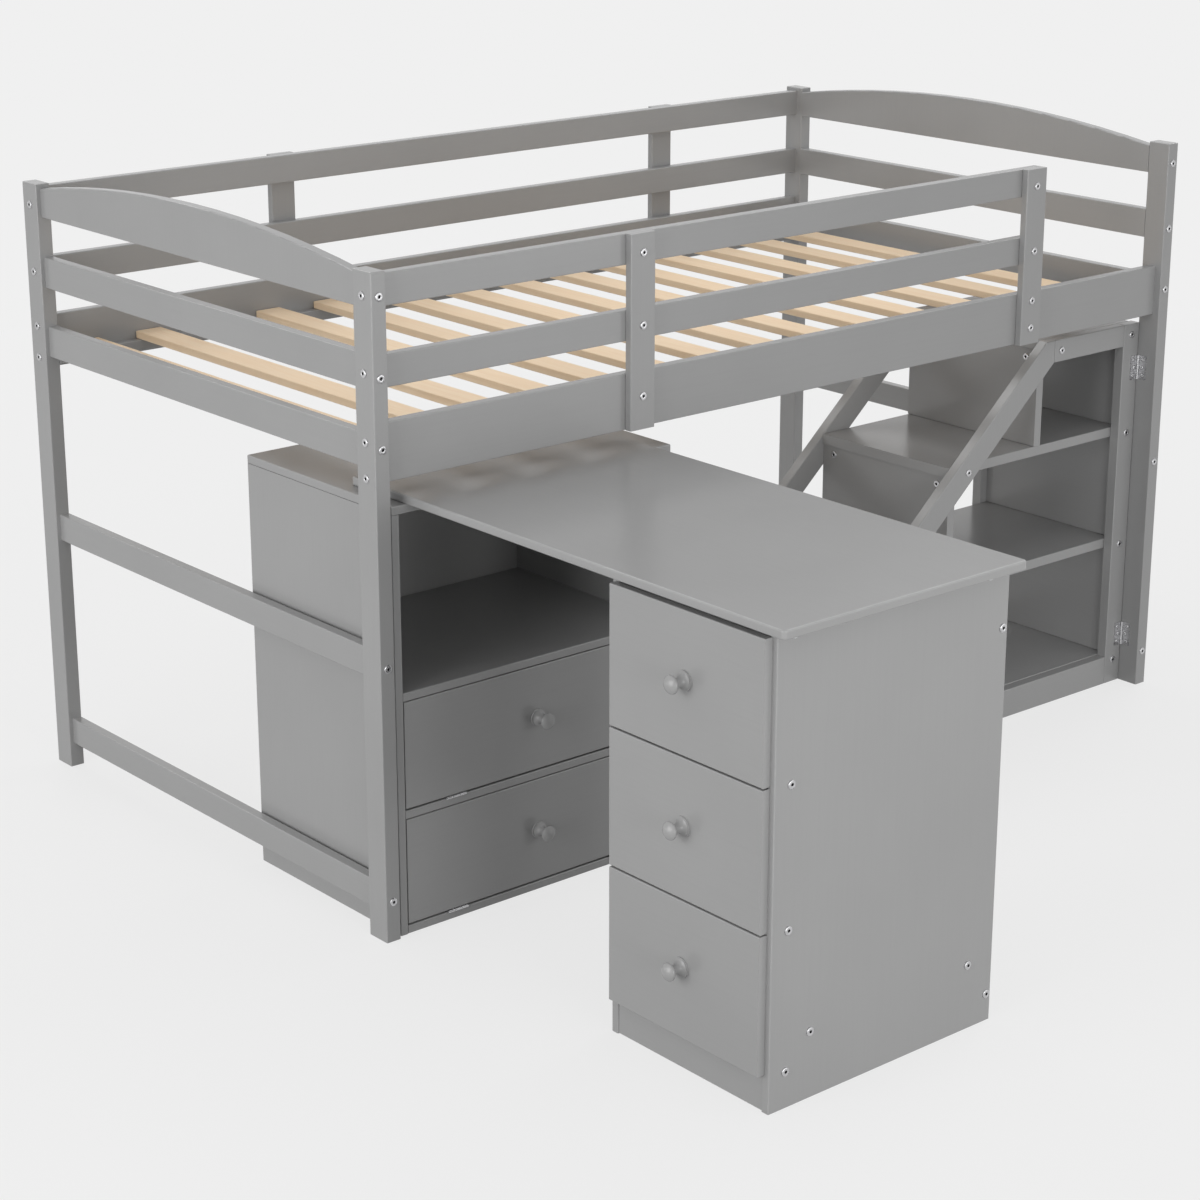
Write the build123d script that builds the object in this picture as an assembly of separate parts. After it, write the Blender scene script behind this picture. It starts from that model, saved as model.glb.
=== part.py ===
from build123d import *
import os
from math import cos, radians, tan

# A low loft bed with a cabinet, a pull-out desk and a swing-out stair under it.
# Sizes are in millimetres. X runs along the bed, Y from its front to its back, Z up from the floor.
# Places are worked out from the middle of the bed, and each piece is then moved so that the middle
# of the whole footprint lies at the origin.

# Bed frame
bed_length = 1994.0
bed_width = 1100.8
post_thickness = 28.8
post_width = 50.0
post_stub = 6.8
under_bed_height = 801.0
side_rail_height = 100.0
lower_guard_gap = 56.5
guard_height = 54.0
guard_gap = 78.5
rail_thickness = 20.0
upright_thickness = 15.0
upright_width = 55.0
first_upright_from_end = 567.8
entrance_width = 367.2
crown_rise = 39.5
crown_drop = 2.0
end_rail_height = 58.0
end_low_rail_rise = 23.0
brace_rail_height = 51.5
brace_rail_bottom = 463.5
foot_rail_bottom = 47.0
edge_ease = 2.0
thin_ease = 0.8

# Slats and their ledgers
slat_count = 14
slat_width = 56.0
slat_thickness = 14.5
slat_first_gap = 37.2
slat_last_gap = 53.7
slat_end_clearance = 2.4
ledger_size = 20.0
ledger_rise = 8.0

# Bolt heads
bolt_head_diameter = 14.5
bolt_head_height = 2.5
bolt_head_bevel = 1.0
rail_bolt_rise = 20.5
side_rail_bolt_spacing = 60.0
front_rail_bolt_drop = 10.0
left_low_bolt_rise = 8.0
upright_bolt_rise = 59.0
upright_bolt_spacing = 54.0

# Cabinet
cabinet_width = 605.0
cabinet_depth = 421.5
cabinet_end_gap = 6.2
cabinet_setback = 7.4
panel_thickness = 15.0
back_thickness = 5.0
flap_bay_height = 195.2
flap_gap = 1.5
flap_hinge_gap = 3.0

# Desk and its pedestal
desktop_length = 1035.5
desktop_width = 508.0
desktop_thickness = 15.0
desktop_corner = 8.0
desktop_ease = 3.0
desk_headroom = 26.0
desk_lap = 151.5
desk_inset = 28.0
pedestal_width = 357.0
pedestal_depth = 486.0
pedestal_front_inset = 34.0
pedestal_back_inset = 1.0
pedestal_back_setback = 3.5
plinth_height = 62.0
plinth_setback = 2.0
pedestal_floor_gap = 39.0
pedestal_floor_thickness = 20.0
cross_rail_depth = 32.0
cross_rail_height = 20.0
top_rail_height = 30.0
rear_top_rail_gap = 9.5
top_bolt_drop = 9.0
back_bolt_low = 47.0
back_bolt_drop = 99.0
floor_bolt_front = 83.0
floor_bolt_back = 57.0

# Drawers
drawer_count = 3
drawer_gap = 3.0
drawer_plinth_gap = 0.5
drawer_top_gap = 10.0
drawer_overlay = 4.8
drawer_side_thickness = 12.0
drawer_bottom_thickness = 5.0
drawer_side_clearance = 10.0
drawer_back_clearance = 48.0
drawer_headroom = 4.0
runner_height = 12.0
running_gap = 0.3
drawer_knob_rise = 5.0

# Turned knobs
knob_length = 35.0
knob_foot_diameter = 33.0
knob_foot_height = 3.0
knob_foot_ledge = 2.5
knob_neck_diameter = 15.0
knob_neck_height = 10.5
knob_underside_diameter = 17.4
knob_underside_height = 19.5
knob_rim_diameter = 32.4
knob_rim_height = 25.8
knob_rim_round = 4.0

# Stair
stair_headroom = 21.5
stair_depth = 394.1
stair_post_gap = 1.0
stair_post_lap = 3.4
stair_frame_thickness = 22.5
stair_slope = 41.5
stair_landing = 285.5
stile_width = 47.0
stringer_width = 50.0
stair_top_rail_height = 45.5
stair_bottom_rail_height = 60.0
stair_board = 20.5
stair_base_top = 61.0
lower_bay_height = 236.5
middle_bay_height = 221.0
riser_thickness = 19.0
tread_nose = 4.0
stair_end_inset = 7.0
stair_end_panel = 20.0
top_rail_bolt_inset = 21.0
stringer_bolt_inset = 31.0
riser_bolt_inset = 31.0
riser_bolt_drop = 18.0

# Stair hinges, on the front right post
stair_hinge_length = 50.0
stair_hinge_leaf_width = 20.0
stair_hinge_thickness = 1.6
stair_hinge_barrel = 5.4
stair_hinge_pin = 3.0
stair_hinge_knuckles = 5
stair_hinge_low = 81.0
stair_hinge_drop = 68.5

# Flap hinges, in the gap under each flap
flap_hinge_length = 43.0
flap_hinge_leaf_width = 13.0
flap_hinge_thickness = 1.0
flap_hinge_barrel = 4.4
flap_hinge_pin = 2.4
flap_hinge_knuckles = 3
flap_hinge_inset = 83.0

# Running room of the hinges
hinge_clearance = 0.3
pin_clearance = 0.1

# Round pieces stand on the plane that they are drawn on
standing = (Align.CENTER, Align.CENTER, Align.MIN)

# Places that follow from the sizes: bed frame
half_length = bed_length / 2
half_width = bed_width / 2
inner_x = half_length - post_thickness
inner_y = half_width - post_width
rail_outer_y = half_width - upright_thickness
rail_inner_y = rail_outer_y - rail_thickness
side_rail_top = under_bed_height + side_rail_height
lower_guard_z = side_rail_top + lower_guard_gap
upper_guard_z = lower_guard_z + guard_height + guard_gap
guard_top = upper_guard_z + guard_height
post_height = guard_top + post_stub
crown_z = upper_guard_z - crown_drop
crown_shoulder_z = guard_top - crown_drop
end_middle_rail_z = lower_guard_z + (guard_height - end_rail_height) / 2
end_low_rail_z = under_bed_height + end_low_rail_rise
entrance_x = inner_x - entrance_width
upright_xs = (first_upright_from_end - half_length, entrance_x - upright_width / 2)
slat_z = under_bed_height + ledger_rise + ledger_size
slat_length = 2 * (rail_inner_y - slat_end_clearance)
slat_pitch = (2 * inner_x - slat_first_gap - slat_last_gap - slat_width) / (slat_count - 1)

# Cabinet
cabinet_height = under_bed_height - desk_headroom - desktop_thickness
cabinet_left = cabinet_end_gap - inner_x
cabinet_right = cabinet_left + cabinet_width
cabinet_front = cabinet_setback - half_width
cabinet_rear = cabinet_front + cabinet_depth
cabinet_inner = (cabinet_left + panel_thickness, cabinet_right - panel_thickness)
cabinet_board_zs = [step * (panel_thickness + flap_bay_height) for step in range(3)]
flap_zs = [z + panel_thickness for z in cabinet_board_zs[:2]]

# Desk
desk_left = cabinet_left + desk_inset
desk_right = desk_left + desktop_width
desk_rear = cabinet_front + desk_lap
desk_front = desk_rear - desktop_length
pedestal_back = desk_right - pedestal_back_inset
pedestal_face = pedestal_back - pedestal_depth
pedestal_near = desk_front + pedestal_front_inset
pedestal_far = pedestal_near + pedestal_width
pedestal_inner = (pedestal_near + panel_thickness, pedestal_far - panel_thickness)
pedestal_middle = (pedestal_near + pedestal_far) / 2
back_panel_x = pedestal_back - pedestal_back_setback - panel_thickness
cross_rail_x = pedestal_face + plinth_setback + panel_thickness
rear_top_rail_x = back_panel_x - rear_top_rail_gap - cross_rail_depth
pedestal_floor_z = plinth_height + pedestal_floor_gap
pedestal_floor_top = pedestal_floor_z + pedestal_floor_thickness

# Drawers
first_front_z = plinth_height + drawer_plinth_gap
fronts_height = cabinet_height - drawer_top_gap - first_front_z
front_height = (fronts_height - drawer_gap * (drawer_count - 1)) / drawer_count
front_zs = [first_front_z + (front_height + drawer_gap) * step for step in range(drawer_count)]
cross_rail_zs = [z - drawer_gap / 2 for z in front_zs]
box_rise = pedestal_floor_top + runner_height + running_gap - first_front_z
box_height = cabinet_height - top_rail_height - drawer_headroom - front_zs[-1] - box_rise
box_back_x = back_panel_x - drawer_back_clearance
box_near = pedestal_inner[0] + drawer_side_clearance
box_far = pedestal_inner[1] - drawer_side_clearance

# Stair
stair_height = under_bed_height - stair_headroom
stair_right = inner_x - stair_post_gap
stair_front = -inner_y - stair_post_lap
stair_rear = stair_front + stair_depth
stair_carcass = (stair_front + stair_frame_thickness, stair_rear - stair_frame_thickness)
stair_frame_ys = ((stair_front, stair_carcass[0]), (stair_carcass[1], stair_rear))
stair_carcass_end = stair_right - stair_end_inset
slope = tan(radians(stair_slope))
lower_tread_top = stair_base_top + lower_bay_height + stair_board
middle_tread_top = lower_tread_top + middle_bay_height + stair_board
tread_tops = (lower_tread_top, middle_tread_top, stair_height)
riser_xs = [stair_right - stair_landing - (stair_height - top) / slope for top in tread_tops]
stair_left = riser_xs[0] - tread_nose
stile_x = stair_right - stile_width
short_stile_right = stair_left + stile_width
stringer_drop = stringer_width / cos(radians(stair_slope))
stringer_top_x = riser_xs[2]
stringer_joint_x = stringer_top_x + (stringer_drop - stair_top_rail_height) / slope

# Hinges: the barrels stand clear of the faces beside them
stair_hinge_offset = stair_hinge_barrel / 2 + hinge_clearance
stair_hinge_x = inner_x - stair_hinge_offset
stair_hinge_y = stair_front - stair_hinge_offset
stair_hinge_zs = (stair_hinge_low, stair_height - stair_hinge_drop - stair_hinge_length)
flap_hinge_y = cabinet_front - flap_hinge_barrel / 2 - hinge_clearance
flap_hinge_xs = (cabinet_inner[0] + flap_hinge_inset,
                 cabinet_inner[1] - flap_hinge_inset - flap_hinge_length)

# The footprint runs from the desktop's near edge to the bolt heads on the back posts
footprint_centre_y = (desk_front + half_width + bolt_head_height) / 2


def span(start, length):
    return (start, start + length)


def around(centre, length):
    return (centre - length / 2, centre + length / 2)


def board(x, y, z, ease=edge_ease, eased_ends=False):
    """A board between the low and high ends of x, y and z, with its long edges or all edges eased."""
    ranges = (x, y, z)
    sizes = [high - low for low, high in ranges]
    middle = [(high + low) / 2 for low, high in ranges]
    grain = (Axis.X, Axis.Y, Axis.Z)[sizes.index(max(sizes))]
    blank = Box(*sizes)
    edges = blank.edges() if eased_ends else blank.edges().filter_by(grain)
    return Pos(*middle) * fillet(edges, ease)


def slab(outline, y, ease=edge_ease):
    """A board cut to an outline of (x, z) points, between the low and high ends of y."""
    face = Plane.XZ * make_face(Polyline(*outline, close=True))
    blank = extrude(face, y[0] - y[1])
    edges = blank.edges().filter_by(Axis.Y, reverse=True)
    return Pos(0, y[0], 0) * fillet(edges, ease)


def both_ends(*pieces):
    """The pieces and their mirror images at the other end of the bed."""
    return [*pieces, *(mirror(piece, about=Plane.YZ) for piece in pieces)]


def both_sides(*pieces):
    """The pieces and their mirror images at the other side of the bed."""
    return [*pieces, *(mirror(piece, about=Plane.XZ) for piece in pieces)]


def save(node, *pieces):
    """Write one node, as a single piece or as a group of separate pieces."""
    placed = [Pos(0, -footprint_centre_y, 0) * piece for piece in pieces]
    shape = placed[0] if len(placed) == 1 else Compound(children=placed)
    export_step(shape, f"parts/{node}.step")


def bolt_head(x, y, z, outward):
    """A low round bolt head that stands on a face and points outward."""
    head = Cylinder(bolt_head_diameter / 2, bolt_head_height, align=standing)
    rim = head.edges().group_by(Axis.Z)[-1]
    return Plane(origin=(x, y, z), z_dir=outward) * chamfer(rim, bolt_head_bevel)


def knob(x, y, z, outward):
    """A turned knob: a round foot with a ledge, a waisted neck and a domed head with a round rim."""
    foot = knob_foot_diameter / 2
    top = (0, knob_length)
    ledge = (foot - knob_foot_ledge, knob_foot_height)
    waist = (knob_neck_diameter / 2, knob_neck_height)
    underside = (knob_underside_diameter / 2, knob_underside_height)
    rim = (knob_rim_diameter / 2, knob_rim_height)
    profile = make_face(Curve() + [
        Polyline(top, (0, 0), (foot, 0), (foot, knob_foot_height), ledge),
        ThreePointArc(ledge, waist, underside),
        Line(underside, rim),
        TangentArc(top, rim, tangent=(1, 0)),
    ])
    rim_corner = profile.vertices().sort_by_distance(rim)[0]
    turned = revolve(Plane.XZ * fillet(rim_corner, knob_rim_round), Axis.Z)
    return Plane(origin=(x, y, z), z_dir=outward) * turned


def hinge_leaf(length, leaf, thickness, offset, barrel, pin, knuckles, first_knuckle):
    """One leaf of a butt hinge: pin along Z, plate along X, screwed face at Y = offset.

    The leaf with the end knuckles carries the pin, and the other leaf is bored for it.
    """
    radius = barrel / 2
    notch = radius + hinge_clearance
    pitch = length / knuckles
    knuckle_height = pitch - hinge_clearance
    corner = (Align.MIN, Align.MAX, Align.MIN)
    shape = Pos(notch, offset, 0) * Box(leaf - notch, thickness, length, align=corner)
    for slot in range(first_knuckle, knuckles, 2):
        bridge = Pos(0, offset, 0) * Box(notch, thickness, knuckle_height, align=corner)
        knuckle = Cylinder(radius, knuckle_height, align=standing)
        shape += Pos(0, 0, slot * pitch + hinge_clearance / 2) * (bridge + knuckle)
    if first_knuckle == 0:
        return shape + Cylinder(pin / 2, length, align=standing)
    return shape - Cylinder(pin / 2 + pin_clearance, length, align=standing)


def stair_hinge_leaf(first_knuckle):
    return hinge_leaf(stair_hinge_length, stair_hinge_leaf_width, stair_hinge_thickness, stair_hinge_offset,
                      stair_hinge_barrel, stair_hinge_pin, stair_hinge_knuckles, first_knuckle)


def flap_hinge_leaf(first_knuckle):
    return hinge_leaf(flap_hinge_length, flap_hinge_leaf_width, flap_hinge_thickness, flap_hinge_gap / 2,
                      flap_hinge_barrel, flap_hinge_pin, flap_hinge_knuckles, first_knuckle)


def post():
    """The back right post, with its upright edges and its top eased."""
    blank = Box(post_thickness, post_width, post_height, align=(Align.MAX, Align.MAX, Align.MIN))
    edges = blank.edges().filter_by(Axis.Z) + blank.edges().group_by(Axis.Z)[-1]
    return Pos(half_length, half_width, 0) * fillet(edges, edge_ease)


def crown_rail():
    """The top end rail at the right: straight below, with its upper edge one shallow arc."""
    left = (-inner_y, crown_shoulder_z)
    right = (inner_y, crown_shoulder_z)
    shoulders = Polyline(right, (inner_y, crown_z), (-inner_y, crown_z), left)
    crown = ThreePointArc(left, (0, crown_shoulder_z + crown_rise), right)
    rail = extrude(Plane.YZ * make_face(Curve() + [shoulders, crown]), rail_thickness)
    long_edges = rail.edges().filter_by(Axis.Y) + rail.edges().filter_by(GeomType.CIRCLE)
    return Pos(inner_x, 0, 0) * fillet(long_edges, edge_ease)


def end_rail(bottom, height):
    """A straight rail between the posts at the right end, flush with their inner faces."""
    return board(span(inner_x, rail_thickness), (-inner_y, inner_y), span(bottom, height))


def bed_bolts():
    """The bolt heads on the posts and on the guard uprights."""
    upper_z = upper_guard_z + rail_bolt_rise
    lower_z = lower_guard_z + guard_height / 2
    side_rail_z = under_bed_height + side_rail_height / 2
    low_rail_z = end_low_rail_z + end_rail_height / 2
    end_zs = (
        upper_z,
        lower_guard_z + rail_bolt_rise,
        brace_rail_bottom + brace_rail_height / 2,
        foot_rail_bottom + brace_rail_height / 2,
    )
    post_x = half_length - post_thickness / 2
    post_y = half_width - post_width / 2
    heads = []
    for side, drop in ((-1, front_rail_bolt_drop), (1, 0)):
        side_rail_zs = around(side_rail_z - drop, side_rail_bolt_spacing)
        for end, rise in ((-1, left_low_bolt_rise), (1, 0)):
            post_zs = (*end_zs, low_rail_z + rise)
            heads += [bolt_head(end * post_x, side * half_width, z, (0, side, 0)) for z in post_zs]
            at_entrance = end == 1 and side == -1
            rail_zs = side_rail_zs if at_entrance else (upper_z, lower_z, *side_rail_zs)
            heads += [bolt_head(end * half_length, side * post_y, z, (end, 0, 0)) for z in rail_zs]
    upright_z = under_bed_height + upright_bolt_rise
    entry_x = upright_xs[1]
    for x in upright_xs:
        for side in (-1, 1):
            at_entrance = x == entry_x and side == -1
            low_zs = around(upright_z, upright_bolt_spacing) if at_entrance else (upright_z,)
            zs = (upper_z, lower_z, *low_zs)
            heads += [bolt_head(x, side * half_width, z, (0, side, 0)) for z in zs]
    return heads


def make_bed():
    back_right = post()
    front_right = mirror(back_right, about=Plane.XZ)
    save("post_back_right", back_right)
    save("post_front_right", front_right)
    save("post_back_left", mirror(back_right, about=Plane.YZ))
    save("post_front_left", mirror(front_right, about=Plane.YZ))

    save("end_crown_rails", *both_ends(crown_rail()))
    save("end_middle_rails", *both_ends(end_rail(end_middle_rail_z, end_rail_height)))
    save("end_low_rails", *both_ends(end_rail(end_low_rail_z, end_rail_height)))
    save("end_brace_rails", *both_ends(end_rail(brace_rail_bottom, brace_rail_height)))
    save("end_foot_rails", *both_ends(end_rail(foot_rail_bottom, brace_rail_height)))

    full_x = (-inner_x, inner_x)
    front_y = (-rail_outer_y, -rail_inner_y)
    back_y = (rail_inner_y, rail_outer_y)
    guard_zs = [span(z, guard_height) for z in (lower_guard_z, upper_guard_z)]
    save("side_rails", *both_sides(board(full_x, back_y, span(under_bed_height, side_rail_height))))
    save("front_guard_rails", *(board((-inner_x, entrance_x), front_y, z) for z in guard_zs))
    save("back_guard_rails", *(board(full_x, back_y, z) for z in guard_zs))
    upright_y = (rail_outer_y, half_width)
    upright_z = (under_bed_height, guard_top)
    uprights = [board(around(x, upright_width), upright_y, upright_z) for x in upright_xs]
    save("guard_uprights", *both_sides(*uprights))

    ledger_y = (rail_inner_y - ledger_size, rail_inner_y)
    ledger_z = span(under_bed_height + ledger_rise, ledger_size)
    save("slat_ledgers", *both_sides(board(full_x, ledger_y, ledger_z)))
    slat_xs = [slat_first_gap - inner_x + slat_pitch * step for step in range(slat_count)]
    slat_y = around(0, slat_length)
    save("slats", *(board(span(x, slat_width), slat_y, span(slat_z, slat_thickness)) for x in slat_xs))
    save("bed_bolts", *bed_bolts())

    on_post = [Plane(origin=(stair_hinge_x, stair_hinge_y, z), x_dir=(0, -1, 0), z_dir=(0, 0, 1))
               for z in stair_hinge_zs]
    save("stair_hinge_post_leaves", *(place * stair_hinge_leaf(0) for place in on_post))


def make_cabinet():
    inner_depth = (cabinet_front, cabinet_rear - back_thickness)
    side_z = (0, cabinet_height - panel_thickness)
    sides = [board(x, (cabinet_front, cabinet_rear), side_z)
             for x in ((cabinet_left, cabinet_inner[0]), (cabinet_inner[1], cabinet_right))]
    save("cabinet_sides", *sides)
    save("cabinet_top", board((cabinet_left, cabinet_right), (cabinet_front, cabinet_rear),
                              (cabinet_height - panel_thickness, cabinet_height), eased_ends=True))
    shelves = [board(cabinet_inner, inner_depth, span(z, panel_thickness)) for z in cabinet_board_zs]
    save("cabinet_shelves", *shelves)
    save("cabinet_back", board(cabinet_inner, (inner_depth[1], cabinet_rear), side_z, thin_ease))
    on_boards = [Plane(origin=(x + flap_hinge_length, flap_hinge_y, z + flap_hinge_gap / 2),
                       x_dir=(0, 1, 0), z_dir=(-1, 0, 0)) for z in flap_zs for x in flap_hinge_xs]
    save("flap_hinge_bases", *(place * flap_hinge_leaf(0) for place in on_boards))


def make_flaps():
    middle_x = (cabinet_left + cabinet_right) / 2
    flap_x = (cabinet_inner[0] + flap_gap, cabinet_inner[1] - flap_gap)
    for name, z in zip(("lower", "upper"), flap_zs):
        flap_z = (z + flap_hinge_gap, z + flap_bay_height - flap_gap)
        save(f"flap_{name}", board(flap_x, span(cabinet_front, panel_thickness), flap_z))
        save(f"flap_{name}_knob", knob(middle_x, cabinet_front, sum(flap_z) / 2, (0, -1, 0)))
        on_flap = [Plane(origin=(x, flap_hinge_y, z + flap_hinge_gap / 2), x_dir=(0, 1, 0),
                         z_dir=(1, 0, 0)) for x in flap_hinge_xs]
        save(f"flap_{name}_hinge_leaves", *(place * flap_hinge_leaf(1) for place in on_flap))


def desktop():
    """The desktop, with rounded corners and softened rims."""
    blank = Box(desktop_width, desktop_length, desktop_thickness, align=(Align.MIN, Align.MIN, Align.MIN))
    rounded = fillet(blank.edges().filter_by(Axis.Z), desktop_corner)
    rims = rounded.edges().group_by(Axis.Z)
    return Pos(desk_left, desk_front, cabinet_height) * fillet(rims[0] + rims[-1], desktop_ease)


def desk_bolts():
    """The bolt heads on both outer faces of the pedestal."""
    rail_x = cross_rail_x + cross_rail_depth / 2
    top_z = cabinet_height - top_bolt_drop
    floor_z = pedestal_floor_z + pedestal_floor_thickness / 2
    back_x = back_panel_x + panel_thickness / 2
    places = [(rail_x, z) for z in cross_rail_zs]
    places += [(rail_x, top_z), (rear_top_rail_x + cross_rail_depth / 2, top_z)]
    places += [(pedestal_face + floor_bolt_front, floor_z), (pedestal_back - floor_bolt_back, floor_z)]
    places += [(back_x, back_bolt_low), (back_x, cabinet_height - back_bolt_drop)]
    near = [bolt_head(x, pedestal_near, z, (0, -1, 0)) for x, z in places]
    far = [bolt_head(x, pedestal_far, z, (0, 1, 0)) for x, z in places]
    return near + far


def make_desk():
    between = pedestal_inner
    save("desktop", desktop())
    sides = [board((pedestal_face, pedestal_back), y, (0, cabinet_height))
             for y in ((pedestal_near, between[0]), (between[1], pedestal_far))]
    save("pedestal_sides", *sides)
    save("pedestal_back", board(span(back_panel_x, panel_thickness), between, (0, cabinet_height)))
    save("pedestal_plinth", board(span(pedestal_face + plinth_setback, panel_thickness), between,
                                  (0, plinth_height)))
    save("pedestal_floor", board((cross_rail_x, back_panel_x), between,
                                 span(pedestal_floor_z, pedestal_floor_thickness)))

    rail_x = span(cross_rail_x, cross_rail_depth)
    cross_rails = [board(rail_x, between, around(z, cross_rail_height)) for z in cross_rail_zs]
    save("pedestal_cross_rails", *cross_rails)
    top_rail_z = (cabinet_height - top_rail_height, cabinet_height)
    top_rails = [board(span(x, cross_rail_depth), between, top_rail_z)
                 for x in (cross_rail_x, rear_top_rail_x)]
    save("pedestal_top_rails", *top_rails)

    runner_width = drawer_side_clearance + drawer_side_thickness
    runner_ys = (span(between[0], runner_width), span(between[1] - runner_width, runner_width))
    runner_tops = [z + box_rise - running_gap for z in front_zs]
    runners = [board((cross_rail_x, back_panel_x), y, (top - runner_height, top), thin_ease)
               for top in runner_tops for y in runner_ys]
    save("drawer_runners", *runners)
    save("desk_bolts", *desk_bolts())


def drawer_box(front_z):
    """The four walls and the bottom of a drawer, behind its front."""
    wall = drawer_side_thickness
    walls_z = span(front_z + box_rise, box_height)
    length = (pedestal_face, box_back_x)
    inside_y = (box_near + wall, box_far - wall)
    return [
        board(length, (box_near, box_near + wall), walls_z, thin_ease),
        board(length, (box_far - wall, box_far), walls_z, thin_ease),
        board(span(pedestal_face, wall), inside_y, walls_z, thin_ease),
        board((box_back_x - wall, box_back_x), inside_y, walls_z, thin_ease),
        board((pedestal_face + wall, box_back_x - wall), inside_y,
              span(front_z + box_rise, drawer_bottom_thickness), thin_ease),
    ]


def make_drawers():
    front_x = (pedestal_face - panel_thickness, pedestal_face)
    front_y = (pedestal_inner[0] - drawer_overlay, pedestal_inner[1] + drawer_overlay)
    for name, front_z in zip(("bottom", "middle", "top"), front_zs):
        knob_z = front_z + front_height / 2 + drawer_knob_rise
        save(f"drawer_{name}_front", board(front_x, front_y, span(front_z, front_height)))
        save(f"drawer_{name}_box", *drawer_box(front_z))
        save(f"drawer_{name}_knob", knob(front_x[0], pedestal_middle, knob_z, (-1, 0, 0)))


def nosing_z(x):
    """The height of the stringers' upper edge."""
    return stair_height - slope * (stringer_top_x - x)


def stringer(y):
    """The sloping board, cut upright where it meets the short stile and the top rail."""
    low_x = short_stile_right
    return slab([
        (low_x, nosing_z(low_x) - stringer_drop),
        (stringer_joint_x, stair_height - stair_top_rail_height),
        (stringer_joint_x, stair_height),
        (stringer_top_x, stair_height),
        (low_x, nosing_z(low_x)),
    ], y)


def short_stile(y):
    """The stile at the foot of the stair, with its top cut on the slope."""
    return slab([
        (stair_left, 0),
        (short_stile_right, 0),
        (short_stile_right, nosing_z(short_stile_right)),
        (stair_left, nosing_z(stair_left)),
    ], y)


def stair_bolts():
    """The bolt heads on the two frames and on the two upper risers."""
    shelf_zs = [top - stair_board / 2 for top in (stair_base_top, lower_tread_top, middle_tread_top)]
    top_z = stair_height - stair_top_rail_height / 2
    places = [(stair_right - stile_width / 2, z) for z in (*shelf_zs, top_z)]
    places += [(stringer_joint_x + top_rail_bolt_inset, top_z)]
    places += [(riser_xs[1] + stringer_bolt_inset, shelf_zs[2])]
    heads = [bolt_head(x, stair_front, z, (0, -1, 0)) for x, z in places]
    heads += [bolt_head(x, stair_rear, z, (0, 1, 0)) for x, z in places]
    riser_ys = (stair_carcass[0] + riser_bolt_inset, stair_carcass[1] - riser_bolt_inset)
    for x, top in zip(riser_xs[1:], tread_tops[1:]):
        heads += [bolt_head(x, y, top - stair_board - riser_bolt_drop, (-1, 0, 0)) for y in riser_ys]
    return heads


def make_stair():
    save("stair_stringers", *(stringer(y) for y in stair_frame_ys))
    save("stair_short_stiles", *(short_stile(y) for y in stair_frame_ys))
    top_rail_z = (stair_height - stair_top_rail_height, stair_height)
    straight_pieces = {
        "stair_tall_stiles": ((stile_x, stair_right), (0, stair_height)),
        "stair_top_rails": ((stringer_joint_x, stile_x), top_rail_z),
        "stair_bottom_rails": ((short_stile_right, stile_x), (0, stair_bottom_rail_height)),
    }
    for node, (x, z) in straight_pieces.items():
        save(node, *(board(x, y, z, eased_ends=True) for y in stair_frame_ys))

    board_nodes = ("stair_base_board", "stair_lower_tread", "stair_middle_tread", "stair_top_tread")
    board_tops = (stair_base_top, *tread_tops)
    board_starts = (riser_xs[0], *riser_xs)
    for node, top, start in zip(board_nodes, board_tops, board_starts):
        board_x = (start - tread_nose, stair_carcass_end)
        save(node, board(board_x, stair_carcass, (top - stair_board, top)))
    bays = [(low, high - stair_board) for low, high in zip(board_tops, tread_tops)]
    risers = [board(span(x, riser_thickness), stair_carcass, z) for x, z in zip(riser_xs, bays)]
    save("stair_risers", *risers)
    end_x = (stair_carcass_end - stair_end_panel, stair_carcass_end)
    save("stair_end_panels", *(board(end_x, stair_carcass, z) for z in bays))
    save("stair_bolts", *stair_bolts())

    on_stile = [Plane(origin=(stair_hinge_x, stair_hinge_y, z + stair_hinge_length), x_dir=(-1, 0, 0),
                      z_dir=(0, 0, -1)) for z in stair_hinge_zs]
    save("stair_hinge_leaves", *(place * stair_hinge_leaf(1) for place in on_stile))


os.makedirs("parts", exist_ok=True)
make_bed()
make_cabinet()
make_flaps()
make_desk()
make_drawers()
make_stair()
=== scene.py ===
import math
from collections import namedtuple

import bmesh
import bpy
from mathutils import Matrix, Vector


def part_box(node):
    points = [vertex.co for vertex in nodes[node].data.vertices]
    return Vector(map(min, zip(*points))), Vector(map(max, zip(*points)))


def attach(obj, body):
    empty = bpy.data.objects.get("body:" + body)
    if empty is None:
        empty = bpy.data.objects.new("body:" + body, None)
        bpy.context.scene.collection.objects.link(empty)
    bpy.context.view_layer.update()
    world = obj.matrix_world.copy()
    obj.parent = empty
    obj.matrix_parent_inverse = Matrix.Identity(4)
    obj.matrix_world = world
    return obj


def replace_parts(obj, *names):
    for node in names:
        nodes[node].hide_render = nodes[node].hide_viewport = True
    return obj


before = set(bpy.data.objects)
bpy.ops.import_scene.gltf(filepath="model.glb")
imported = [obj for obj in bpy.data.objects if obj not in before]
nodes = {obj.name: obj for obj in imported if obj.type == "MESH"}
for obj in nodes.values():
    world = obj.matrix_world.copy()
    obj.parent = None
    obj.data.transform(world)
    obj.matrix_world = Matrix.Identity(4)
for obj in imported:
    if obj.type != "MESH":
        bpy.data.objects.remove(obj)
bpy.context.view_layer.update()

# Sizes are in metres
millimetre = 0.001

# Directions
to_left = (-1.0, 0.0, 0.0)
to_front = (0.0, -1.0, 0.0)
upward = (0.0, 0.0, 1.0)
downward = (0.0, 0.0, -1.0)

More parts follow.
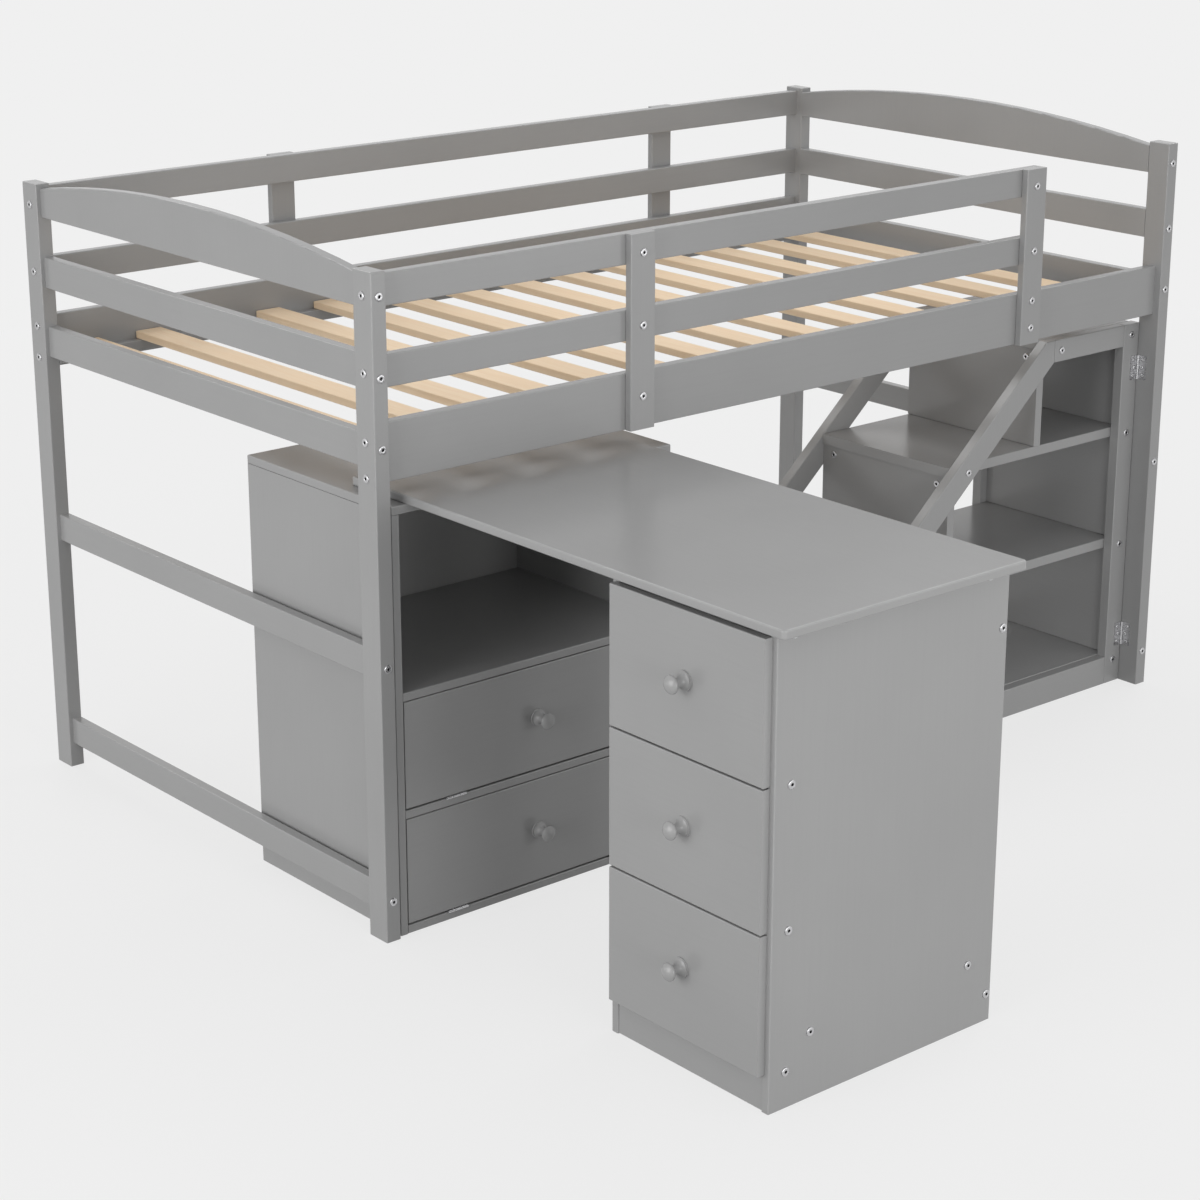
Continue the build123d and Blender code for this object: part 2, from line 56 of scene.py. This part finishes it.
# The camera of the photograph
camera_place = (-3.4767, -3.5906, 2.0274)
camera_heading = math.radians(40.2617)
camera_dip = math.radians(17.718)
camera_lens = 82.909
camera_shift = (0.00213, -0.02727)

# Stage: the floor shows the backdrop's grey and throws back less light than that. Its shadow fades
# out between the two radii, where it meets the backdrop.
backdrop_grey = 0.871
floor_radius = 12.0
floor_sides = 96
floor_bounce = 0.22
shadow_share = 0.17
shadow_radii = (2.0, 4.5)

# Light: an even sky and soft square lamps, each aimed at the object
Lamp = namedtuple("Lamp", "name place size power")
sky_light = 0.50
lamp_aim = (0.0, 0.0, 0.6)
lamps = (
    Lamp("left_softbox", (-5.0, -0.5, 1.4), 3.0, 96.0),
    Lamp("low_left_lamp", (-4.2, 2.2, 0.5), 0.8, 8.0),
    Lamp("near_front_softbox", (-1.4, -3.6, 0.9), 1.2, 26.0),
    Lamp("front_softbox", (0.0, -5.5, 0.9), 1.6, 32.0),
    Lamp("front_right_softbox", (2.6, -5.0, 1.0), 2.0, 29.0),
    Lamp("high_back_softbox", (0.0, 4.2, 4.6), 3.0, 73.0),
    Lamp("high_right_softbox", (4.0, 0.6, 4.6), 3.0, 76.0),
)

# Colours are linear light. Pattern scales are per metre, and where there are two of them,
# the first is along the grain and the second across it. A tone is a factor on a colour.

# The part of a noise's range that holds most of its values
noise_middle = (0.3, 0.7)

# Satin grey paint
paint_grey = (0.352, 0.352, 0.352)
# A lighter grey, painted in patches on the eased edges as a highlight
paint_edge_highlight = (0.374, 0.374, 0.374)
paint_roughness = (0.22, 0.25)
paint_specular = 0.45
paint_cloud_scale = 4.0
paint_cloud_tones = (0.975, 1.02)
paint_grain_scales = (7.0, 240.0)
paint_grain_height = 0.06 * millimetre
paint_streak_tone = 0.93
paint_streak_shares = (0.0, 0.22)
paint_streak_span = (0.45, 0.75)
paint_stipple_scale = 700.0
paint_stipple_height = 0.0025 * millimetre
# Patches that break up the painted edge highlight
paint_patch_scale = 35.0
paint_patch_shares = (0.25, 0.9)
paint_patch_span = (0.35, 0.65)

# The largest part of a normal is below this range on an eased edge, and above it on a face
edge_span = (0.90, 0.985)

# Nodes with slanting or round faces, which that test would take for edges
shaped_words = ("knob", "stringers", "short_stiles", "crown")

# Planed pine
pine_pale = (0.98, 0.775, 0.55)
pine_dark = (0.91, 0.65, 0.41)
pine_roughness = (0.48, 0.62)
pine_specular = 0.35
pine_slat_tones = (0.97, 1.03)
pine_slat_shift = (3.0, 3.0, 3.0)
pine_figure_scales = (1.3, 26.0)
pine_ring_rate = 55.0
pine_ring_shares = (0.0, 0.30)
pine_ring_height = 0.04 * millimetre
pine_fibre_scales = (12.0, 900.0)
pine_fibre_shares = (0.0, 0.25)
pine_fibre_span = (0.35, 0.75)
pine_fibre_height = 0.05 * millimetre

# Plated steel, and a near-black steel that paints the shade in the recesses and seams of the fasteners
zinc = (0.53, 0.53, 0.54)
bright_zinc = (0.84, 0.84, 0.85)
zinc_roughness = (0.22, 0.36)
recess_shade_grey = (0.035, 0.035, 0.037)
recess_roughness = (0.5, 0.7)
metal_sheen_scale = 160.0
metal_sheen_tones = (0.90, 1.06)
metal_scratch_scales = (300.0, 4000.0)
metal_scratch_height = 0.01 * millimetre

# Tolerances for reading the CAD meshes, and the angle from which an edge of a fastener stays sharp
weld_distance = 0.005 * millimetre
level_tolerance = 0.01 * millimetre
rim_share = 0.05
sharp_angle = math.radians(35.0)

# Bolt heads with a hexagonal socket, whose wall and floor are painted shade in near-black steel. The
# profile, the mouth and the floor are shares of a head's own radius and height, and each head is turned
# a step further than the last.
bolt_sides = 36
bolt_profile = (
    (1.0, 0.0), (1.0, 0.55), (0.97, 0.76), (0.90, 0.91), (0.80, 0.985), (0.52, 1.0), (0.46, 0.97),
)
bolt_socket_flats = 5.0 * millimetre
bolt_socket_mouth = 0.90
bolt_socket_floor = 0.12
bolt_turn = 2.4

# Hinge screws: a seam round a low dome with a cross recess, all as shares of a screw's own radius and
# height. The seam and the recess wall are painted shade in near-black steel. They sit in zigzag on two
# lines, at shares of a leaf's width from its free edge.
screw_sides = 32
screw_profile = ((1.0, 0.25), (0.96, 0.6), (0.82, 0.9), (0.66, 1.0))
screw_seam = 1.25
screw_cross_core = 0.2
screw_cross_arm = 0.4
screw_cross_power = 4
screw_cross_floor = 0.3
screw_lines = (0.34, 0.48)
screw_turn = 1.7

# Screws on each leaf of the stair's hinges and of the flaps' hinges
stair_screw_count = 3
stair_screw_radius = 3.5 * millimetre
stair_screw_height = 0.5 * millimetre
flap_screw_count = 2
flap_screw_radius = 2.2 * millimetre
flap_screw_height = 0.3 * millimetre


def shade(colour, factor):
    return tuple(channel * factor for channel in colour)


def link(tree, source, target):
    tree.links.new(source, target)


def new_material(name):
    """A material with a Principled shader, with its node tree and its shader."""
    material = bpy.data.materials.new(name)
    material.use_nodes = True
    tree = material.node_tree
    return material, tree, tree.nodes["Principled BSDF"]


def node(tree, kind, **settings):
    """A shader node, with some of its settings and inputs given by name."""
    made = tree.nodes.new(kind)
    for key, value in settings.items():
        if key in made.inputs:
            made.inputs[key].default_value = value
        else:
            setattr(made, key, value)
    return made


def noise(tree, vector, scale, detail=3.0):
    made = node(tree, "ShaderNodeTexNoise", Scale=scale, Detail=detail)
    link(tree, vector, made.inputs["Vector"])
    return made.outputs["Fac"]


def grain_noise(tree, vector, grain, scales, detail=3.0):
    """A noise that changes slowly along the grain and fast across it."""
    along, across = scales
    stretch = [across, across, across]
    stretch["XYZ".index(grain)] = along
    made = node(tree, "ShaderNodeMapping")
    made.inputs["Scale"].default_value = stretch
    link(tree, vector, made.inputs["Vector"])
    return noise(tree, made.outputs["Vector"], 1.0, detail)


def spread(tree, value, span, levels):
    """The value, mapped from a span of its range to the two levels."""
    made = node(tree, "ShaderNodeMapRange")
    for socket, number in zip(made.inputs[1:5], (*span, *levels)):
        socket.default_value = number
    link(tree, value, made.inputs["Value"])
    return made.outputs["Result"]


def math_node(tree, operation, first, second=0.0):
    made = node(tree, "ShaderNodeMath", operation=operation)
    for socket, value in zip(made.inputs, (first, second)):
        if isinstance(value, (int, float)):
            socket.default_value = value
        else:
            link(tree, value, socket)
    return made.outputs["Value"]


def mix_colour(tree, share, first, second):
    """A blend of two colours, each a socket or a fixed colour."""
    made = node(tree, "ShaderNodeMix", data_type="RGBA")
    link(tree, share, made.inputs["Factor"])
    for socket, value in zip((made.inputs[6], made.inputs[7]), (first, second)):
        if isinstance(value, tuple):
            socket.default_value = (*value, 1.0)
        else:
            link(tree, value, socket)
    return made.outputs[2]


def mix_tones(tree, share, colour, tones):
    """A blend of two shades of one colour."""
    return mix_colour(tree, share, *(shade(colour, tone) for tone in tones))


def bump(tree, height, distance, below=None):
    made = node(tree, "ShaderNodeBump", Distance=distance)
    link(tree, height, made.inputs["Height"])
    if below is not None:
        link(tree, below, made.inputs["Normal"])
    return made.outputs["Normal"]


def edge_mask(tree, normal):
    """1 on the eased edges of a board that lies square to the axes, and 0 on its faces."""
    split = node(tree, "ShaderNodeSeparateXYZ")
    link(tree, normal, split.inputs["Vector"])
    sizes = [math_node(tree, "ABSOLUTE", axis) for axis in split.outputs]
    largest = math_node(tree, "MAXIMUM", math_node(tree, "MAXIMUM", sizes[0], sizes[1]), sizes[2])
    return spread(tree, largest, edge_span, (1.0, 0.0))


def paint(name, grain, highlit_edges=True):
    """Satin grey paint, with the board's grain and the roller's stipple showing faintly in it, and if
    asked a painted highlight on its eased edges.
    """
    material, tree, shader = new_material(name)
    place = node(tree, "ShaderNodeTexCoord")
    spot = place.outputs["Object"]
    grain_height = grain_noise(tree, spot, grain, paint_grain_scales, detail=4.0)
    stipple = noise(tree, spot, paint_stipple_scale, detail=2.0)
    cloud = spread(tree, noise(tree, spot, paint_cloud_scale), noise_middle, (0.0, 1.0))
    clouded = mix_tones(tree, cloud, paint_grey, paint_cloud_tones)
    streak = spread(tree, grain_height, paint_streak_span, paint_streak_shares)
    colour = mix_colour(tree, streak, clouded, shade(paint_grey, paint_streak_tone))
    # Painted highlight: a lighter grey in patches on the eased edges
    if highlit_edges:
        edges = edge_mask(tree, place.outputs["Normal"])
        patch_noise = noise(tree, spot, paint_patch_scale, detail=4.0)
        patches = spread(tree, patch_noise, paint_patch_span, paint_patch_shares)
        colour = mix_colour(tree, math_node(tree, "MULTIPLY", edges, patches), colour, paint_edge_highlight)
    link(tree, colour, shader.inputs["Base Color"])
    link(tree, spread(tree, stipple, noise_middle, paint_roughness), shader.inputs["Roughness"])
    shader.inputs["Specular IOR Level"].default_value = paint_specular
    relief = bump(tree, grain_height, paint_grain_height)
    link(tree, bump(tree, stipple, paint_stipple_height, relief), shader.inputs["Normal"])
    return material


def slat_chance(tree, spot):
    """A random value and colour for each slat, which is the same all over the slat.

    The slats are told apart by cells one pitch wide, which begin a quarter of a pitch before each.
    """
    pitch = slat_pitch()
    split = node(tree, "ShaderNodeSeparateXYZ")
    link(tree, spot, split.inputs["Vector"])
    along_bed = math_node(tree, "SUBTRACT", split.outputs["X"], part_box("slats")[0].x - pitch / 4)
    index = math_node(tree, "FLOOR", math_node(tree, "DIVIDE", along_bed, pitch))
    chance = node(tree, "ShaderNodeTexWhiteNoise", noise_dimensions="1D")
    link(tree, index, chance.inputs["W"])
    return chance.outputs["Value"], chance.outputs["Color"]


def pine():
    """Planed pine, grain along Y, with a figure of its own on each slat."""
    material, tree, shader = new_material("planed_pine")
    place = node(tree, "ShaderNodeTexCoord")
    spot = place.outputs["Object"]
    chance, chance_colour = slat_chance(tree, spot)
    shifted = node(tree, "ShaderNodeVectorMath", operation="MULTIPLY_ADD")
    link(tree, chance_colour, shifted.inputs[0])
    shifted.inputs[1].default_value = pine_slat_shift
    link(tree, spot, shifted.inputs[2])
    own_spot = shifted.outputs["Vector"]
    figure = grain_noise(tree, own_spot, "Y", pine_figure_scales)
    rings = math_node(tree, "SINE", math_node(tree, "MULTIPLY", figure, pine_ring_rate))
    fibre = grain_noise(tree, own_spot, "Y", pine_fibre_scales, detail=4.0)
    plain = mix_tones(tree, chance, pine_pale, pine_slat_tones)
    ringed = mix_colour(tree, spread(tree, rings, (-1.0, 1.0), pine_ring_shares), plain, pine_dark)
    fibre_share = spread(tree, fibre, pine_fibre_span, pine_fibre_shares)
    link(tree, mix_colour(tree, fibre_share, ringed, pine_dark), shader.inputs["Base Color"])
    link(tree, spread(tree, fibre, noise_middle, pine_roughness), shader.inputs["Roughness"])
    shader.inputs["Specular IOR Level"].default_value = pine_specular
    relief = bump(tree, rings, pine_ring_height)
    link(tree, bump(tree, fibre, pine_fibre_height, relief), shader.inputs["Normal"])
    return material


def metal(name, colour, roughness):
    """Plated steel with fine scratches and a slightly uneven sheen."""
    material, tree, shader = new_material(name)
    place = node(tree, "ShaderNodeTexCoord")
    spot = place.outputs["Object"]
    sheen = noise(tree, spot, metal_sheen_scale, detail=4.0)
    scratch = grain_noise(tree, spot, "Z", metal_scratch_scales, detail=2.0)
    link(tree, mix_tones(tree, sheen, colour, metal_sheen_tones), shader.inputs["Base Color"])
    link(tree, spread(tree, sheen, noise_middle, roughness), shader.inputs["Roughness"])
    shader.inputs["Metallic"].default_value = 1.0
    link(tree, bump(tree, scratch, metal_scratch_height), shader.inputs["Normal"])
    return material


def components(name):
    """The connected groups of points of a CAD node, as lists of positions."""
    welded = bmesh.new()
    welded.from_mesh(nodes[name].data)
    bmesh.ops.remove_doubles(welded, verts=welded.verts, dist=weld_distance)
    waiting = set(welded.verts)
    groups = []
    for start in welded.verts:
        if start not in waiting:
            continue
        waiting.remove(start)
        stack = [start]
        group = []
        while stack:
            vertex = stack.pop()
            group.append(vertex.co.copy())
            for edge in vertex.link_edges:
                other = edge.other_vert(vertex)
                if other in waiting:
                    waiting.remove(other)
                    stack.append(other)
        groups.append(group)
    welded.free()
    return groups


def corners(points):
    """The lowest and the highest corner of the points' box."""
    low = Vector([min(point[axis] for point in points) for axis in range(3)])
    high = Vector([max(point[axis] for point in points) for axis in range(3)])
    return low, high


def axes_by_size(size):
    """The three axes, from the thinnest to the longest."""
    return sorted(range(3), key=lambda axis: size[axis])


def grain_of(name):
    """The axis along which a node's first board is longest."""
    low, high = corners(components(name)[0])
    return "XYZ"[axes_by_size(high - low)[2]]


def slat_pitch():
    """The distance from one slat to the next."""
    starts = sorted(corners(group)[0].x for group in components("slats"))
    return (starts[-1] - starts[0]) / (len(starts) - 1)


Head = namedtuple("Head", "seat outward radius height")


def bolt_heads_of(name):
    """Seat, direction, radius and height of each bolt head in a CAD node, which narrows outwards."""
    found = []
    for points in components(name):
        low, high = corners(points)
        size = high - low
        axis = axes_by_size(size)[0]
        across = [other for other in range(3) if other != axis]
        middle = (low + high) / 2
        reach = []
        for end in (low[axis], high[axis]):
            rim = [point - middle for point in points if abs(point[axis] - end) < size[axis] * rim_share]
            reach.append(max(math.hypot(*(point[other] for other in across)) for point in rim))
        outward = Vector((0.0, 0.0, 0.0))
        outward[axis] = 1.0 if reach[1] < reach[0] else -1.0
        found.append(Head(middle - outward * size[axis] / 2, outward, max(reach), size[axis]))
    return found


def ring(count, radius_at, height):
    """Points round the Z axis, at a radius that depends on the angle."""
    angles = [2 * math.pi * step / count for step in range(count)]
    return [(radius_at(a) * math.cos(a), radius_at(a) * math.sin(a), height) for a in angles]


def circle(radius):
    return lambda angle: radius


def hexagon(flats):
    """The radius of a hexagon of this width across its flats, at each angle."""
    sector = math.pi / 3
    return lambda angle: flats / 2 / math.cos((angle % sector) - sector / 2)


def cross(radius):
    """The radius of a four-pointed recess, at each angle."""
    def reach(angle):
        point = abs(math.cos(2 * angle)) ** screw_cross_power
        return radius * (screw_cross_core + screw_cross_arm * point)
    return reach


def facing(seat, outward, turn):
    """The placing of a fastener that is drawn along Z."""
    turned = outward.to_track_quat("Z", "Y").to_matrix().to_4x4()
    return Matrix.Translation(seat) @ turned @ Matrix.Rotation(turn, 4, "Z")


def skin(mesh, rings, place, shaded_bands):
    """Skins one ring of points to the next and closes both ends.

    The bands named and the last end are in the second material, the near-black steel of painted shade.
    """
    layers = [[mesh.verts.new(place @ Vector(point)) for point in points] for points in rings]
    count = len(layers[0])
    mesh.faces.new(list(reversed(layers[0])))
    for band, (lower, upper) in enumerate(zip(layers, layers[1:])):
        for step in range(count):
            following = (step + 1) % count
            face = mesh.faces.new((lower[step], lower[following], upper[following], upper[step]))
            face.material_index = int(band in shaded_bands)
    mesh.faces.new(layers[-1]).material_index = 1


def finish_fasteners(name, mesh, materials, body):
    """An object made of a finished mesh of fasteners, riding on a body."""
    data = bpy.data.meshes.new(name)
    mesh.to_mesh(data)
    mesh.free()
    data.shade_smooth()
    data.set_sharp_from_angle(angle=sharp_angle)
    for material in materials:
        data.materials.append(material)
    piece = bpy.data.objects.new(name, data)
    bpy.context.scene.collection.objects.link(piece)
    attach(piece, body)
    return piece


def socket_bolts(name, replaced, body, materials):
    """Bolt heads with a soft rim and a hexagonal socket, each in the place of a plain one."""
    mesh = bmesh.new()
    socket = hexagon(bolt_socket_flats)
    for number, head in enumerate(bolt_heads_of(replaced)):
        rings = [ring(bolt_sides, circle(r * head.radius), z * head.height) for r, z in bolt_profile]
        for share in (bolt_socket_mouth, bolt_socket_floor):
            rings.append(ring(bolt_sides, socket, share * head.height))
        # The socket's wall and floor are in the near-black steel: painted shade in the socket
        socket_wall = len(rings) - 2
        skin(mesh, rings, facing(head.seat, head.outward, number * bolt_turn), {socket_wall})
    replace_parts(finish_fasteners(name, mesh, materials, body), replaced)


def screw_seats(leaves, outward, count):
    """Where the screws of each hinge leaf of a CAD node sit, on the open face of its plate."""
    thin = max(range(3), key=lambda axis: abs(outward[axis]))
    for points in components(leaves):
        low, high = corners(points)
        size = high - low
        long = axes_by_size(size)[2]
        wide = 3 - thin - long
        ends = []
        for end, inward in ((low[wide], 1.0), (high[wide], -1.0)):
            heights = [point[thin] for point in points if abs(point[wide] - end) < level_tolerance]
            ends.append((max(heights) - min(heights), end, inward, heights))
        _, end, inward, heights = max(ends)
        for step in range(count):
            seat = Vector((0.0, 0.0, 0.0))
            seat[long] = low[long] + size[long] * (step + 0.5) / count
            seat[wide] = end + inward * size[wide] * screw_lines[step % 2]
            seat[thin] = max(heights) if outward[thin] > 0 else min(heights)
            yield seat


def hinge_screws(name, leaves, body, outward, count, radius, height, materials):
    """Low cross-head screws on the plates of the hinge leaves of a CAD node."""
    mesh = bmesh.new()
    recess = cross(radius)
    for number, seat in enumerate(screw_seats(leaves, outward, count)):
        rings = [ring(screw_sides, circle(screw_seam * radius), 0.0)]
        rings += [ring(screw_sides, circle(r * radius), z * height) for r, z in screw_profile]
        rings += [ring(screw_sides, recess, height)]
        rings += [ring(screw_sides, recess, screw_cross_floor * height)]
        # The seam and the recess wall are in the near-black steel: painted shade
        seam, recess_wall = 0, len(rings) - 2
        skin(mesh, rings, facing(seat, Vector(outward), number * screw_turn), {seam, recess_wall})
    finish_fasteners(name, mesh, materials, body)


def light():
    """The soft lamps, each a square that faces the object."""
    for lamp in lamps:
        data = bpy.data.lights.new(lamp.name, "AREA")
        data.shape = "SQUARE"
        data.size = lamp.size
        data.energy = lamp.power
        placed = bpy.data.objects.new(lamp.name, data)
        placed.location = lamp.place
        away = Vector(lamp.place) - Vector(lamp_aim)
        placed.rotation_euler = away.to_track_quat("Z", "Y").to_euler()
        placed.visible_camera = False
        bpy.context.scene.collection.objects.link(placed)


def seen_directly(tree):
    """1 for what is seen, straight or in a reflection, and 0 for the light that falls on things."""
    path = node(tree, "ShaderNodeLightPath")
    seen = math_node(tree, "MAXIMUM", path.outputs["Is Camera Ray"], path.outputs["Is Glossy Ray"])
    return math_node(tree, "MAXIMUM", seen, path.outputs["Is Transmission Ray"])


def mix_shader(tree, share, first, second):
    made = node(tree, "ShaderNodeMixShader")
    link(tree, share, made.inputs["Fac"])
    link(tree, first, made.inputs[1])
    link(tree, second, made.inputs[2])
    return made.outputs["Shader"]


def grey(level):
    return (level, level, level, 1.0)


def sky():
    """Even light from all round, which the camera and reflections see as the pale backdrop."""
    world = bpy.data.worlds.new("studio")
    world.use_nodes = True
    tree = world.node_tree
    lit = tree.nodes["Background"]
    lit.inputs["Color"].default_value = grey(1.0)
    lit.inputs["Strength"].default_value = sky_light
    seen = node(tree, "ShaderNodeBackground", Color=grey(backdrop_grey), Strength=1.0)
    blend = mix_shader(tree, seen_directly(tree), lit.outputs["Background"], seen.outputs["Background"])
    link(tree, blend, tree.nodes["World Output"].inputs["Surface"])
    bpy.context.scene.world = world


def floor():
    """A wide pale disc under the object, with a shadow that fades into the backdrop."""
    mesh = bmesh.new()
    bmesh.ops.create_circle(mesh, cap_ends=True, segments=floor_sides, radius=floor_radius)
    data = bpy.data.meshes.new("floor")
    mesh.to_mesh(data)
    mesh.free()
    material = bpy.data.materials.new("pale_floor")
    material.use_nodes = True
    tree = material.node_tree
    tree.nodes.remove(tree.nodes["Principled BSDF"])
    place = node(tree, "ShaderNodeTexCoord")
    length = node(tree, "ShaderNodeVectorMath", operation="LENGTH")
    link(tree, place.outputs["Object"], length.inputs[0])
    fade = spread(tree, length.outputs["Value"], shadow_radii, (shadow_share, 0.0))
    plain = node(tree, "ShaderNodeEmission", Color=grey(backdrop_grey), Strength=1.0)
    shaded = node(tree, "ShaderNodeBsdfDiffuse", Color=grey(backdrop_grey))
    bounce = node(tree, "ShaderNodeBsdfDiffuse", Color=grey(floor_bounce))
    seen = mix_shader(tree, fade, plain.outputs["Emission"], shaded.outputs["BSDF"])
    blend = mix_shader(tree, seen_directly(tree), bounce.outputs["BSDF"], seen)
    link(tree, blend, tree.nodes["Material Output"].inputs["Surface"])
    data.materials.append(material)
    placed = bpy.data.objects.new("floor", data)
    bpy.context.scene.collection.objects.link(placed)


def camera():
    """The photograph's camera."""
    data = bpy.data.cameras.new("photo_camera")
    data.lens = camera_lens
    data.shift_x, data.shift_y = camera_shift
    placed = bpy.data.objects.new("photo_camera", data)
    placed.location = camera_place
    placed.rotation_euler = (math.pi / 2 - camera_dip, 0.0, -camera_heading)
    bpy.context.scene.collection.objects.link(placed)
    bpy.context.scene.camera = placed


def dress(steel):
    """Gives every CAD node its finish."""
    painted = {grain: paint(f"grey_paint_{grain.lower()}", grain) for grain in "XYZ"}
    # Paint without the painted edge highlight, for slanting and round faces
    plain_edge_paint = paint("grey_paint_shaped", "Z", highlit_edges=False)
    wood = pine()
    for name, item in nodes.items():
        if name == "slats":
            finish = wood
        elif "bolts" in name or "hinge" in name:
            finish = steel
        elif any(word in name for word in shaped_words):
            finish = plain_edge_paint
        else:
            finish = painted[grain_of(name)]
        for place in item.material_slots:
            place.material = finish


bpy.context.scene.view_settings.view_transform = "Standard"
camera()
sky()
light()
floor()

bolt_steel = metal("zinc_steel", zinc, zinc_roughness)
screw_steel = metal("bright_zinc_steel", bright_zinc, zinc_roughness)
# Near-black steel that paints the shade in sockets, recesses and seams
recess_shade_steel = metal("painted_recess_shade", recess_shade_grey, recess_roughness)
bolt_steels = (bolt_steel, recess_shade_steel)
screw_steels = (screw_steel, recess_shade_steel)

dress(bolt_steel)
for owner, body in (("bed", "bed_frame"), ("desk", "desk"), ("stair", "stair")):
    socket_bolts(f"{owner}_bolt_heads", f"{owner}_bolts", body, bolt_steels)

stair_screws = (stair_screw_count, stair_screw_radius, stair_screw_height, screw_steels)
flap_screws = (flap_screw_count, flap_screw_radius, flap_screw_height, screw_steels)
hinge_screws("post_leaf_screws", "stair_hinge_post_leaves", "bed_frame", to_left, *stair_screws)
hinge_screws("stair_leaf_screws", "stair_hinge_leaves", "stair", to_front, *stair_screws)
hinge_screws("flap_base_screws", "flap_hinge_bases", "bed_frame", upward, *flap_screws)
for level in ("upper", "lower"):
    hinge_screws(f"flap_{level}_leaf_screws", f"flap_{level}_hinge_leaves", f"flap_{level}_body",
                 downward, *flap_screws)
